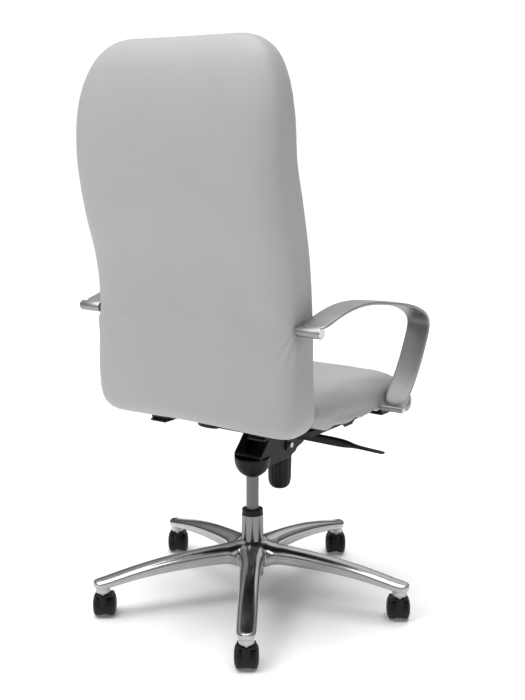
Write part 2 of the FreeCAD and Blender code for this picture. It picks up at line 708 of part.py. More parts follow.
def arm_bracket_parts():
    """Steel bracket under each side of the seat board: flange, upstand for the arm bolt, drilled ear."""
    brackets, bolts = [], []
    for side, sign in (("right", -1), ("left", 1)):
        name = f"arm_bracket_{side}"
        low = mm("seat_board_bottom") - 4
        flange = box(name + "_flange", "80", "130", "4", str(min(sign * 120, sign * 200)), "-194", str(low))
        tongue = box(name + "_tongue", "42", "44", "4", str(min(sign * 198, sign * 240)), "-194", str(low))
        stand_x = min(sign * 236, sign * 240)
        stand = box(name + "_stand", "4", "44", "56", str(stand_x), "-194", str(low))
        ear_outline = [(-66, low + 1), (-82, low - 19), (-112, low - 19), (-142, low + 1)]
        ear = put(slab(name + "_ear", "YZ_Plane", outline(ear_outline), "4"), x=str(sign * 186))
        hole = cylinder(name + "_ear_hole", "3.5", "20", str(sign * 186 - 10), "-105", str(low - 11), ALONG_X)
        start = min(sign * 224, sign * 286)
        spot = (str(start), "-chair.boss_ahead", "chair.boss_height", ALONG_X)
        bolt_hole = cylinder(name + "_bolt_hole", "4", "62", *spot)
        shape = fuse(name + "_shape", flange, tongue, stand, ear)
        brackets.append(cut(name, shape, fuse(name + "_holes", hole, bolt_hole)))
        bolts.append(cylinder(f"arm_bolt_{side}", "4", "62", *spot))
    sub_part(group("arm_brackets", *brackets), "arm_brackets")
    sub_part(group("arm_bolts", *bolts), "arm_bolts")
    return brackets + bolts


def seat_section(across):
    """Side outline of the seat at a distance from its middle; the top rim rolls over near the sides."""
    half = mm("seat_half_width")
    rim = 26
    low = mm("seat_underside")
    front = -mm("seat_front")
    rear = mm("seat_rear")
    drop = 0
    if abs(across) > half - rim:
        drop = rim * (1 - math.sqrt(1 - ((abs(across) - half + rim) / rim) ** 2))
    crown = mm("seat_crown") * (1 - (across / half) ** 2)
    high = mm("seat_top") + crown - 0.8 * drop
    nose = front + 0.5 * drop
    points = [Vector(across, rear, low), Vector(across, rear, high - 8), Vector(across, nose + 50, high - 8),
              Vector(across, nose, high - 42), Vector(across, nose + 8, low)]
    top_middle = Vector(across, (rear + nose) / 2, high)
    nose_middle = Vector(across, nose + 11, high - 25)
    edges = [
        Part.LineSegment(points[0], points[1]),
        Part.Arc(points[1], top_middle, points[2]),
        Part.Arc(points[2], nose_middle, points[3]),
        Part.LineSegment(points[3], points[4]),
        Part.LineSegment(points[4], points[0]),
    ]
    return Part.Wire([edge.toShape() for edge in edges])


def seat_cushion_blank():
    """Foam block with rounded rims, a crowned top and a softer, lower front edge."""
    half = mm("seat_half_width")
    stations = [half, half - 2, half - 8, half - 16, half - 26, 150, 75]
    across = [-station for station in stations] + [0] + list(reversed(stations))
    return feature("seat_blank", Part.makeLoft([seat_section(station) for station in across], True, True))


def seat_and_back(inserts):
    """Cushions cut to fit over the boards, brackets and bolts that they hold, and the cover underneath."""
    board_outline = [(-216, -232), (216, -232), (216, 102), (-216, 102)]
    board = slab("seat_board_pad", "XY_Plane", outline(board_outline), "chair.board_thickness")
    board = put(board, z="chair.seat_board_bottom + chair.board_thickness / 2")
    holes = [cylinder(f"board_screw_hole_{i}", "3", "10", x, y, "chair.seat_board_bottom")
             for i, (x, y) in enumerate(SCREW_SPOTS)]
    sub_part(cut("seat_board", board, fuse("board_screw_holes", *holes)), "seat_board")
    sub_part(cut("seat_cushion", seat_cushion_blank(), fuse("seat_inserts", *inserts)), "seat_cushion")

    rods = [cylinder(f"back_rod_hole_{i}", "6", "42", str(x), "chair.rear_rod_back", "chair.rear_rod_height",
                     ALONG_X) for i, x in enumerate((-250, 208))]
    held = [doc.getObject("back_board"), doc.getObject("back_brackets"), *rods]
    sub_part(cut("back_cushion", back_cushion_blank(), fuse("back_inserts", *held)), "back_cushion")


# ---------------------------------------------------------------- arms

ARM_TOP = [(203, 687.5), (173, 693), (145, 701), (101, 710), (50, 714.5), (-7, 711.5), (-77, 700),
           (-138, 691.5), (-197, 675)]
ARM_LEG = [(-248, 640), (-232, 598), (-208, 547), (-175, 501), (-133, 459)]


def arm_edges():
    """Side outline of the band: arched top, tight front corner, and a leg that thickens to its foot."""
    thick = mm("band_thickness")
    points = [Vector(y, z, 0) for y, z in ARM_TOP + ARM_LEG]
    inner = []
    for index, point in enumerate(points):
        before = points[max(index - 1, 0)]
        after = points[min(index + 1, len(points) - 1)]
        along = (after - before).normalize()
        inward = Vector(-along.y, along.x, 0)
        share = index / (len(points) - 1)
        inner.append(point + inward * thick * (1 + 0.5 * share ** 3))
    corner = len(ARM_TOP)
    inner[corner] = inner[corner] + Vector(4, -4, 0)
    outer_curve = spline(points)
    inner_curve = spline(list(reversed(inner)))
    return [outer_curve, Part.LineSegment(points[-1], inner[-1]), inner_curve,
            Part.LineSegment(inner[0], points[0])]


def loop_arm(side, sign):
    """Bent band with its rear rod and front boss; the right arm has sign -1."""
    centre = f"{sign} * (chair.band_inner + chair.band_width / 2)"
    band = put(slab(f"{side}_band", "YZ_Plane", arm_edges(), "chair.band_width"), x=centre)
    foot_start = "-chair.band_inner - chair.band_width" if sign < 0 else "chair.band_inner"
    foot = cylinder(f"{side}_foot", "6", "chair.band_width", foot_start, "-129", "460", ALONG_X)
    boss_length = "chair.band_width - 11"
    boss_start = "-chair.band_inner - chair.band_width + 11" if sign < 0 else "chair.band_inner"
    boss = cylinder(f"{side}_boss", "chair.boss_radius", boss_length, boss_start, "-chair.boss_ahead",
                    "chair.boss_height", ALONG_X)
    rod_spot = (foot_start, "chair.rear_rod_back", "chair.rear_rod_height", ALONG_X)
    rod_space = cylinder(f"{side}_rod_space", "chair.rear_rod_radius", "chair.band_width", *rod_spot)
    bolt_start = "-286" if sign < 0 else "224"
    bolt = cylinder(f"{side}_bolt_space", "4", "62", bolt_start, "-chair.boss_ahead", "chair.boss_height",
                    ALONG_X)
    casting = fuse(f"{side}_casting", band, foot, boss)
    sub_part(cut(f"{side}_arm", casting, fuse(f"{side}_arm_spaces", rod_space, bolt)), f"{side}_arm")

    rod = cylinder(f"{side}_rod", "chair.rear_rod_radius", "chair.band_width", *rod_spot)
    spigot_start = "-chair.band_inner" if sign < 0 else "chair.band_inner - 40"
    spigot = cylinder(f"{side}_spigot", "6", "40", spigot_start, "chair.rear_rod_back",
                      "chair.rear_rod_height", ALONG_X)
    sub_part(fuse(f"{side}_arm_rear_rod", rod, spigot), f"{side}_arm_rear_rod")


def end_caps():
    """Round caps on the outer ends of the rear rods and of the feet."""
    caps = []
    outer_face = "chair.band_inner + chair.band_width"
    for side, start in (("right", f"-({outer_face}) - 1.5"), ("left", outer_face)):
        caps.append(cylinder(f"rod_cap_{side}", "chair.rear_rod_radius - 1", "1.5", start,
                             "chair.rear_rod_back", "chair.rear_rod_height", ALONG_X))
        caps.append(cylinder(f"foot_cap_{side}", "5", "1.5", start, "-129", "460", ALONG_X))
    sub_part(group("arm_end_caps", *caps), "arm_end_caps")


def check_all():
    """Stops if anything in the document failed or a finished piece isn't a good solid."""
    for thing in doc.Objects:
        if "Invalid" in thing.State or "Error" in thing.State:
            raise RuntimeError(f"{thing.Label} failed: {thing.State}")
    for piece in sub_parts:
        shape = piece.Shape
        if shape.isNull() or not shape.isValid() or not shape.Solids:
            raise RuntimeError(f"{piece.Label} has no valid solid")


def write_all():
    os.makedirs("parts", exist_ok=True)
    for piece in sub_parts:
        piece.Shape.exportStep(f"parts/{piece.Label}.step")


star_base()
for number, where in enumerate(CASTER_NAMES):
    caster(number, where)
column()
housing()
pivot()
tension()
height_lever()
tilt_lock_lever()
seat_plate()
seat_screws()
back_parts()
seat_and_back(arm_bracket_parts())
loop_arm("right", -1)
loop_arm("left", 1)
end_caps()
doc.recompute()
check_all()
write_all()
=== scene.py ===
"""Looks of the swivel office chair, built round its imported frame.

Metres, origin on the column axis at floor level, +Z up, the sitter faces -Y and the sitter's right is -X.
"""
import math

import bmesh
import bpy
from mathutils import Matrix, Vector


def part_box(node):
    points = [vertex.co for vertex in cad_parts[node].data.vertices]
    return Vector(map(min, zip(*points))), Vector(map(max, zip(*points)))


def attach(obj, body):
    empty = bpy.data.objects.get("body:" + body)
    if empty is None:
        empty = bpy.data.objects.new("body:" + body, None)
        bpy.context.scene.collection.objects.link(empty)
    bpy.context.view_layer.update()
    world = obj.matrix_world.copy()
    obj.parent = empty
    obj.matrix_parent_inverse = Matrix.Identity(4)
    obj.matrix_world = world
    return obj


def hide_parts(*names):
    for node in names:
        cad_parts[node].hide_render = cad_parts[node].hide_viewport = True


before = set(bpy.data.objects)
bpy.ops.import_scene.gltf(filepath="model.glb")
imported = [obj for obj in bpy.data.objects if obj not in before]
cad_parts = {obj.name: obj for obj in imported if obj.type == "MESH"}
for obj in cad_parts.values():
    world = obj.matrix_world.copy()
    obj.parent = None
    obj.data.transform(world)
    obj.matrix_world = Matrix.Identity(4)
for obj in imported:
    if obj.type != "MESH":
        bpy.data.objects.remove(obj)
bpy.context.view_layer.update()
scene = bpy.context.scene


# ---------------------------------------------------------------- camera
# A long-lens studio view from behind the sitter's right shoulder, a little above the seat, with the whole
# chair upright in a tall frame.

VIEW_TURN = math.radians(214.9)
VIEW_RISE = math.radians(11.42)
VIEW_DISTANCE = 2.368
sideways = Vector((math.cos(VIEW_TURN), math.sin(VIEW_TURN), 0))
towards = Vector((math.sin(VIEW_TURN) * math.cos(VIEW_RISE), -math.cos(VIEW_TURN) * math.cos(VIEW_RISE),
                  math.sin(VIEW_RISE)))
aim = Vector((0, 0, 0.5785)) + 0.0223 * sideways
bpy.ops.object.select_all(action="DESELECT")
bpy.ops.object.camera_add(location=aim + VIEW_DISTANCE * towards)
camera = bpy.context.object
camera.rotation_euler = towards.to_track_quat("Z", "Y").to_euler()
camera.data.lens = 56.2
camera.data.sensor_width = 36
scene.camera = camera


# ---------------------------------------------------------------- studio
# A pale seamless floor under a broad, even overhead light, a weaker one on each side of the view, and a room
# that is dark near the floor and pale above for the polished metal to mirror.

class Signal:
    """A number on its way through a finish's nodes; sums on it add Math nodes."""

    def __init__(self, finish, socket):
        self.finish = finish
        self.socket = socket

    def __add__(self, other):
        return self.finish.maths("ADD", self, other)

    def __mul__(self, other):
        return self.finish.maths("MULTIPLY", self, other)

    __radd__ = __add__
    __rmul__ = __mul__


class Finish:
    """A material made of nodes that read Object coordinates, so its pattern stays on the piece."""

    def __init__(self, name, colour, values=None):
        self.material = bpy.data.materials.new(name)
        self.material.use_nodes = True
        self.material.diffuse_color = (*colour, 1)
        self.tree = self.material.node_tree
        self.tree.nodes.clear()
        output = self.tree.nodes.new("ShaderNodeOutputMaterial")
        self.shader = self.tree.nodes.new("ShaderNodeBsdfPrincipled")
        self.tree.links.new(self.shader.outputs["BSDF"], output.inputs["Surface"])
        self.shader.inputs["Base Color"].default_value = (*colour, 1)
        for socket, value in (values or {}).items():
            self.shader.inputs[socket].default_value = value
        self.where = self.node("ShaderNodeTexCoord").outputs["Object"]

    def join(self, value, socket):
        """Sets a socket to a plain value, or links it to whatever feeds it."""
        if isinstance(value, Signal):
            value = value.socket
        if isinstance(value, bpy.types.NodeSocket):
            self.tree.links.new(value, socket)
        else:
            socket.default_value = value

    def node(self, kind, settings=None, sockets=None):
        made = self.tree.nodes.new(kind)
        for name, value in (settings or {}).items():
            setattr(made, name, value)
        for name, value in (sockets or {}).items():
            self.join(value, made.inputs[name])
        return made

    def maths(self, operation, first, second):
        made = self.node("ShaderNodeMath", {"operation": operation}, {0: first, 1: second})
        return Signal(self, made.outputs[0])

    def stretched(self, scale):
        """Object coordinates scaled along each axis."""
        mapping = self.node("ShaderNodeMapping", None, {"Vector": self.where, "Scale": scale})
        return mapping.outputs["Vector"]

    def noise(self, size, detail=3, where=None):
        """Smooth noise from 0 to 1 whose patches are about the given size in metres."""
        made = self.node("ShaderNodeTexNoise", None,
                         {"Vector": where or self.where, "Scale": 1 / size, "Detail": detail})
        return Signal(self, made.outputs["Fac"])

    def cells(self, size, where=None):
        """Distance to the nearest edge between cells of about the given size in metres."""
        made = self.node("ShaderNodeTexVoronoi", {"feature": "DISTANCE_TO_EDGE"},
                         {"Vector": where or self.where, "Scale": 1 / size})
        return Signal(self, made.outputs["Distance"])

    def paint(self, amount, low, high):
        """Base colour mixed from low to high by a signal from 0 to 1."""
        mix = self.node("ShaderNodeMix", {"data_type": "RGBA"},
                        {"Factor": amount, 6: (*low, 1), 7: (*high, 1)})
        self.join(mix.outputs[2], self.shader.inputs["Base Color"])

    def roughen(self, signal):
        self.join(signal, self.shader.inputs["Roughness"])

    def bump(self, height, distance, strength=1.0):
        made = self.node("ShaderNodeBump", None,
                         {"Height": height, "Distance": distance, "Strength": strength})
        self.join(made.outputs["Normal"], self.shader.inputs["Normal"])

    def on(self, *pieces):
        for piece in pieces:
            piece.data.materials.clear()
            piece.data.materials.append(self.material)


def grey(level):
    """A neutral colour."""
    return level, level, level


scene.view_settings.view_transform = "Standard"
bpy.ops.mesh.primitive_plane_add(size=60)
floor = bpy.context.object
floor.name = "studio_floor"
floor_paint = Finish("studio_floor", grey(0.95), {"Roughness": 0.9, "Specular IOR Level": 0.0,
                                                    "Emission Color": (1, 1, 1, 1),
                                                    "Emission Strength": 0.12})
floor_paint.on(floor)


def soft_light(name, spot, width, power):
    """A square area light that faces the chair's seat."""
    bpy.ops.object.light_add(type="AREA", location=spot)
    light = bpy.context.object
    light.name = name
    light.data.energy = power
    light.data.size = width
    light.rotation_euler = (Vector(spot) - Vector((0, 0, 0.5))).to_track_quat("Z", "Y").to_euler()


soft_light("light_above", (0, 0, 3.2), 2.2, 8)
soft_light("light_behind_high", (0.9, 2.3, 3.3), 1.6, 56)
soft_light("light_behind_right", (-2.8, 0.6, 1.5), 1.0, 3)
soft_light("light_front", (0.8, -3.0, 1.8), 1.8, 6)
bpy.ops.object.light_add(type="SUN", location=(0, 0, 5))
overhead = bpy.context.object
overhead.name = "light_overhead_even"
overhead.data.energy = 2.9
overhead.data.angle = math.radians(50)

room = bpy.data.worlds.new("studio_room")
scene.world = room
room.use_nodes = True
room_nodes = room.node_tree.nodes
room_light = room_nodes["Background"]
room_light.inputs["Color"].default_value = (*grey(0.10), 1)
room_height = room_nodes.new("ShaderNodeSeparateXYZ")
room_fade = room_nodes.new("ShaderNodeValToRGB")
room_fade.color_ramp.elements[0].position = 0.10
room_fade.color_ramp.elements[0].color = (*grey(0.03), 1)
room_fade.color_ramp.elements[1].position = 0.75
room_fade.color_ramp.elements[1].color = (*grey(0.75), 1)
room_mirror = room_nodes.new("ShaderNodeBackground")
room_direction = room_nodes.new("ShaderNodeTexCoord")
room_wall = room_nodes.new("ShaderNodeBackground")
room_wall.inputs["Color"].default_value = (*grey(1.0), 1)
room_wall.inputs["Strength"].default_value = 1.05
seen = room_nodes.new("ShaderNodeLightPath")
mirrored = room_nodes.new("ShaderNodeMixShader")
either = room_nodes.new("ShaderNodeMixShader")
room.node_tree.links.new(room_direction.outputs["Generated"], room_height.inputs[0])
room.node_tree.links.new(room_height.outputs["Z"], room_fade.inputs["Fac"])
room.node_tree.links.new(room_fade.outputs["Color"], room_mirror.inputs["Color"])
room.node_tree.links.new(seen.outputs["Is Glossy Ray"], mirrored.inputs["Fac"])
room.node_tree.links.new(room_light.outputs[0], mirrored.inputs[1])
room.node_tree.links.new(room_mirror.outputs[0], mirrored.inputs[2])
room.node_tree.links.new(seen.outputs["Is Camera Ray"], either.inputs["Fac"])
room.node_tree.links.new(mirrored.outputs[0], either.inputs[1])
room.node_tree.links.new(room_wall.outputs[0], either.inputs[2])
room.node_tree.links.new(either.outputs[0], room_nodes["World Output"].inputs["Surface"])


# ---------------------------------------------------------------- base
# Polished die-cast aluminium star of five arms. Each arm is crowned on top, has a fine parting groove and a
# narrower ledge under it, flares into its neighbours at the hub, and ends in a round socket for a caster.

def add(kind, name, **settings):
    """Adds a primitive with nothing else selected."""
    if bpy.context.object and bpy.context.object.mode == "EDIT":
        bpy.ops.object.mode_set(mode="OBJECT")
    bpy.ops.object.select_all(action="DESELECT")
    getattr(bpy.ops.mesh, f"primitive_{kind}_add")(**settings)
    piece = bpy.context.object
    piece.name = name
    piece.data.name = name
    return piece


def settle(piece):
    """Puts a piece's place into its mesh."""
    bpy.ops.object.select_all(action="DESELECT")
    piece.select_set(True)
    bpy.context.view_layer.objects.active = piece
    bpy.ops.object.transform_apply(location=True, rotation=True, scale=True)


def modify(piece, kind, **settings):
    """Adds a modifier and applies it."""
    modifier = piece.modifiers.new(kind.lower(), kind)
    for name, value in settings.items():
        setattr(modifier, name, value)
    bpy.context.view_layer.objects.active = piece
    bpy.ops.object.modifier_apply(modifier=modifier.name)


def close(piece, smooth=180):
    """Welds a piece, turns its faces outwards and smooths its shading up to an angle."""
    bpy.ops.object.select_all(action="DESELECT")
    piece.select_set(True)
    bpy.context.view_layer.objects.active = piece
    bpy.ops.object.mode_set(mode="EDIT")
    bpy.ops.mesh.select_all(action="SELECT")
    bpy.ops.mesh.remove_doubles(threshold=0.00002)
    bpy.ops.mesh.normals_make_consistent(inside=False)
    bpy.ops.object.mode_set(mode="OBJECT")
    bpy.ops.object.shade_smooth_by_angle(angle=math.radians(smooth))
    return piece


def pick(mesh, indices):
    """Selects only the given points of a mesh in edit mode."""
    bpy.ops.mesh.select_all(action="DESELECT")
    mesh.verts.ensure_lookup_table()
    for index in indices:
        mesh.verts[index].select = True
    mesh.select_flush(True)


def extrude_row(piece, row, points):
    """Extrudes a row of points to new places and returns the new row."""
    mesh = bmesh.from_edit_mesh(piece.data)
    pick(mesh, row)
    bpy.ops.mesh.extrude_edges_move()
    mesh = bmesh.from_edit_mesh(piece.data)
    mesh.verts.ensure_lookup_table()
    mesh.verts.index_update()
    fresh = []
    for index, point in zip(row, points):
        ends = (edge.other_vert(mesh.verts[index]) for edge in mesh.verts[index].link_edges)
        vertex = next(end for end in ends if end.select)
        vertex.co = point
        fresh.append(vertex.index)
    return fresh


def cap(piece, row):
    """Closes a ring of points with one face."""
    pick(bmesh.from_edit_mesh(piece.data), row)
    bpy.ops.mesh.edge_face_add()


def skin(name, rings, capped=True):
    """A circle of points shaped to the first ring, then extruded and shaped to each next one."""
    piece = add("circle", name, vertices=len(rings[0]), radius=1)
    bpy.ops.object.mode_set(mode="EDIT")
    mesh = bmesh.from_edit_mesh(piece.data)
    mesh.verts.ensure_lookup_table()
    for vertex, point in zip(mesh.verts, rings[0]):
        vertex.co = point
    first = row = [vertex.index for vertex in mesh.verts]
    for ring in rings[1:]:
        row = extrude_row(piece, row, ring)
    if capped:
        cap(piece, first)
        cap(piece, row)
    bpy.ops.object.mode_set(mode="OBJECT")
    return piece


def circle(radius, height, count):
    return [Vector((radius * math.cos(turn), radius * math.sin(turn), height))
            for turn in (math.tau * step / count for step in range(count))]


def turned(name, profile, count, capped=True):
    """A piece turned about Z from (radius, height) steps."""
    return skin(name, [circle(radius, height, count) for radius, height in profile], capped)


def place(piece, turn=0.0, shift=(0, 0, 0), tip=None):
    """Moves a piece's mesh: tipped first, then turned about Z, then shifted."""
    piece.data.transform(Matrix.Translation(shift) @ Matrix.Rotation(turn, 4, "Z") @ (tip or Matrix()))
    return piece


def copy(piece, name):
    twin = piece.copy()
    twin.data = piece.data.copy()
    twin.name = twin.data.name = name
    scene.collection.objects.link(twin)
    return twin


def join(name, *pieces):
    """Makes several pieces one."""
    bpy.ops.object.select_all(action="DESELECT")
    for piece in pieces:
        piece.select_set(True)
    bpy.context.view_layer.objects.active = pieces[0]
    bpy.ops.object.join()
    pieces[0].name = pieces[0].data.name = name
    return pieces[0]


CASTERS = ("rear_right", "right", "front", "left", "rear_left")
caster_spots = []
for where in CASTERS:
    low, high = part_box(f"caster_{where}_stem")
    caster_spots.append(Vector(((low.x + high.x) / 2, (low.y + high.y) / 2, 0)))
caster_circle = caster_spots[0].length


def arm_ring(reach, swell=0.0, share=1.0):
    """Section across an arm; swell widens it near the hub and share narrows it round the tip."""
    along = min(reach / caster_circle, 1)
    top = 0.140 - 0.048 * along ** 2.1
    low = 0.100 - 0.030 * along ** 3.1
    half = (0.025 - 0.004 * along + swell) * share
    deep = (top - low) * (0.45 + 0.55 * share)
    low = top - deep - 0.003 * (1 - share)
    top -= 0.006 * (1 - share)
    side = [(0.62, 0.0), (0.84, 0.10), (0.90, 0.42), (0.885, 0.47), (0.985, 0.52), (0.97, 0.72),
            (0.62, 0.965)]
    right = [Vector((reach, -out * half, low + up * (top - low))) for out, up in side]
    left = [Vector((point.x, -point.y, point.z)) for point in reversed(right)]
    return [Vector((reach, 0, low)), *right, Vector((reach, 0, top)), *left]


def web_ring():
    """The first ring of an arm's skin: its sides lie where it meets the next arms, a tenth of a turn away."""
    side = [(0.034, 0.086), (0.040, 0.091), (0.0435, 0.107), (0.0430, 0.110), (0.0440, 0.113),
            (0.0425, 0.127), (0.0345, 0.140)]
    turn = math.pi / 5
    right = [Vector((out * math.cos(turn), -out * math.sin(turn), up)) for out, up in side]
    left = [Vector((point.x, -point.y, point.z)) for point in reversed(right)]
    return [Vector((0.034, 0, 0.085)), *right, Vector((0.0345, 0, 0.1425)), *left]


def hub_row(radius, height):
    return [Vector((radius * math.cos(turn), radius * math.sin(turn), height))
            for turn in (-math.pi / 5, 0, math.pi / 5)]


stations = [(0.056, 0.0085), (0.068, 0.0035), (0.090, 0.001), (0.130, 0), (0.170, 0), (0.210, 0), (0.250, 0),
            (0.290, 0), (0.325, 0)]
rings = [web_ring()] + [arm_ring(reach, swell) for reach, swell in stations]
tip_round = 0.021
for degrees in (15, 40, 62, 80):
    turn = math.radians(degrees)
    rings.append(arm_ring(caster_circle + tip_round * math.sin(turn), share=math.cos(turn)))
arm = skin("base_arm", rings, capped=False)
bpy.ops.object.mode_set(mode="EDIT")
cap(arm, range(len(arm.data.vertices) - 16, len(arm.data.vertices)))
row = extrude_row(arm, [7, 8, 9], hub_row(0.0268, 0.1475))
row = extrude_row(arm, row, hub_row(0.0249, 0.1480))
row = extrude_row(arm, row, hub_row(0.0249, 0.0850))
extrude_row(arm, row, [rings[0][1], rings[0][0], rings[0][15]])
bpy.ops.object.mode_set(mode="OBJECT")
first_turn = math.atan2(caster_spots[0].y, caster_spots[0].x)
arms = [arm] + [copy(arm, f"base_arm_{index}") for index in range(1, 5)]
for index, piece in enumerate(arms):
    place(piece, turn=first_turn + index * math.tau / 5)
base = close(join("polished_star_base", *arms))
modify(base, "SUBSURF", levels=3, render_levels=3)

socket_steps = [(0.006, 0.0620), (0.0135, 0.0620), (0.0150, 0.0626), (0.0157, 0.0640), (0.0158, 0.0700),
                (0.0158, 0.0840), (0.006, 0.0840)]
for index, spot in enumerate(caster_spots):
    socket = close(place(turned(f"socket_{index}", socket_steps, 40), shift=spot), 40)
    base = join("polished_star_base", base, socket)

polished = Finish("polished_aluminium", grey(0.42), {"Metallic": 1.0})
smudge = polished.noise(0.09, 2)
polished.roughen(0.15 + smudge * 0.10)
polished.paint(smudge, grey(0.38), grey(0.47))
polished.bump(polished.noise(0.05, 2), 0.0006, 0.35)
polished.on(base)
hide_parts("star_base")
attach(base, "base")


# ---------------------------------------------------------------- casters
# Twin-wheel casters of black nylon: a hood curves over two domed wheels on a steel axle, and its neck turns
# on a steel stem in the arm's socket. All five stand turned the same way.

WHEEL_RADIUS = 0.025
WHEEL_GAP = 0.013
TRAIL = 0.020
HEADING = math.radians(-145.1)
HOOD_HALF = 0.01935
wheel_steps = [(0.0044, 0.0), (0.0200, 0.0), (0.0205, 0.0008), (0.0215, 0.0008), (0.0222, 0.0),
               (0.0238, 0.0004), (0.0250, 0.0020), (0.0250, 0.0122), (0.0246, 0.0134), (0.0232, 0.0148),
               (0.0212, 0.0160),
               (0.0206, 0.0156), (0.0200, 0.0163), (0.0170, 0.0174), (0.0120, 0.0182), (0.0078, 0.0185),
               (0.0073, 0.0177), (0.0044, 0.0178), (0.0044, 0.0)]
wheel = close(turned("wheel", wheel_steps, 48, capped=False), 35)

hood_section = [(HOOD_HALF, 0.0272), (0.0190, 0.0286), (0.0180, 0.0290), (0.0, 0.0290)]
hood_inside = [(0.0, 0.0060), (0.0057, 0.0060), (0.0057, 0.0254), (0.0063, 0.0262), (0.0183, 0.0262),
               (HOOD_HALF, 0.0264)]
right_half = hood_inside + hood_section
left_half = [(-across, out) for across, out in reversed(right_half[1:-1])]
hood_rings = []
for degrees in range(-30, 171, 10):
    turn = math.radians(degrees)
    hood_rings.append([Vector((across, TRAIL - out * math.cos(turn), WHEEL_RADIUS + out * math.sin(turn)))
                       for across, out in right_half + left_half])
hood = skin("hood", hood_rings)
neck = place(turned("neck", [(0.0070, 0.028), (0.0100, 0.030), (0.0100, 0.050), (0.0092, 0.0530),
                             (0.0082, 0.0556), (0.0060, 0.0560)], 32))
lid = add("cube", "lid", size=1, scale=(2 * HOOD_HALF, 0.018, 0.0044), location=(0, 0, 0.0535))
settle(lid)
modify(lid, "BEVEL", width=0.0012, segments=3, limit_method="NONE")
modify(hood, "BEVEL", width=0.0005, segments=2, limit_method="ANGLE", angle_limit=math.radians(40))
hood = join("hood", close(hood, 35), close(neck, 35), close(lid, 35))

nylon = Finish("black_nylon", grey(0.006), {"Specular IOR Level": 0.24})
nylon.roughen(0.40 + 0.12 * nylon.noise(0.012))
nylon.bump(nylon.noise(0.0009, 2), 0.00004, 0.6)
for where, spot in zip(CASTERS, caster_spots):
    cover = place(copy(hood, f"caster_{where}_cover"), HEADING, spot)
    nylon.on(cover)
    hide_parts(f"caster_{where}_hood")
    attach(cover, f"caster_{where}")
    for side, facing in (("left", 1), ("right", -1)):
        tip = Matrix.Translation((facing * WHEEL_GAP / 2, TRAIL, WHEEL_RADIUS)) @ \
            Matrix.Rotation(facing * math.pi / 2, 4, "Y")
        roller = place(copy(wheel, f"caster_{where}_roller_{side}"), HEADING, spot, tip)
        nylon.on(roller)
        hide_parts(f"caster_{where}_wheel_{side}")
        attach(roller, f"caster_{where}_wheel_{side}")
for pattern in (hood, wheel):
    bpy.data.objects.remove(pattern)

zinc = Finish("zinc_plated_steel", grey(0.5), {"Metallic": 1.0})
zinc.roughen(0.28 + 0.15 * zinc.noise(0.004))
zinc.paint(zinc.noise(0.02, 2), grey(0.42), grey(0.56))
for where in CASTERS:
    zinc.on(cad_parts[f"caster_{where}_stem"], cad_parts[f"caster_{where}_axle"])


# ---------------------------------------------------------------- gas lift
# A polished outer tube stands in the hub with a black guide collar in its mouth, and the gas cylinder, in
# satin steel, slides in the collar. Rod, bearing, clip and release pin are inside.

tube_metal = Finish("polished_tube", grey(0.20), {"Metallic": 1.0})
tube_metal.roughen(0.14 + 0.08 * tube_metal.noise(0.006, 2, tube_metal.stretched((1, 1, 0.06))))
tube_metal.on(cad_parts["column_outer_tube"])

cylinder_steel = Finish("satin_cylinder_steel", grey(0.15), {"Metallic": 1.0})
drawn = cylinder_steel.noise(0.0015, 2, cylinder_steel.stretched((1, 1, 0.03)))
cylinder_steel.roughen(0.34 + 0.12 * drawn)
cylinder_steel.paint(cylinder_steel.noise(0.03), grey(0.13), grey(0.17))
cylinder_steel.on(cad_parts["gas_cylinder"])

moulded = Finish("black_moulded_plastic", grey(0.007), {"Specular IOR Level": 0.25})
moulded.roughen(0.44 + 0.12 * moulded.noise(0.01))
moulded.bump(moulded.cells(0.0009), 0.00006, 0.7)
moulded.on(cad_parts["column_guide_bush"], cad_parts["pivot_bushes"])
zinc.on(*(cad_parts[node] for node in ("piston_rod", "thrust_bearing", "retaining_clip", "release_pin")))


# ---------------------------------------------------------------- tilt mechanism
# A black powder-coated casting: its round bowl grips the cylinder, and its body runs forward to the recline
# shaft and the tension spring. A fluted plastic knob hangs under its front.

housing = copy(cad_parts["mechanism_housing"], "tilt_mechanism_casting")
close(housing)
modify(housing, "REMESH", mode="VOXEL", voxel_size=0.0014)
modify(housing, "SMOOTH", factor=0.5, iterations=4)
close(housing)

enamel = Finish("black_powder_coat", grey(0.005), {"Specular IOR Level": 0.22})
enamel.roughen(0.36 + 0.14 * enamel.noise(0.02))
enamel.bump(enamel.noise(0.0016, 2), 0.00008, 0.6)
enamel.on(housing)
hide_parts("mechanism_housing")
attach(housing, "mechanism")

FLUTES = 12
knob_low, knob_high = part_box("tension_knob")
knob_middle = (knob_low + knob_high) / 2
knob_tall = knob_high.z - knob_low.z


def knob_ring(radius, height, depth):
    """A ring of the knob, drawn in at each flute."""
    ring = []
    for step in range(FLUTES * 8):
        turn = math.tau * step / (FLUTES * 8)
        dip = depth * max(0.0, math.cos(FLUTES * turn)) ** 2
        ring.append(Vector(((radius - dip) * math.cos(turn), (radius - dip) * math.sin(turn), height)))
    return ring


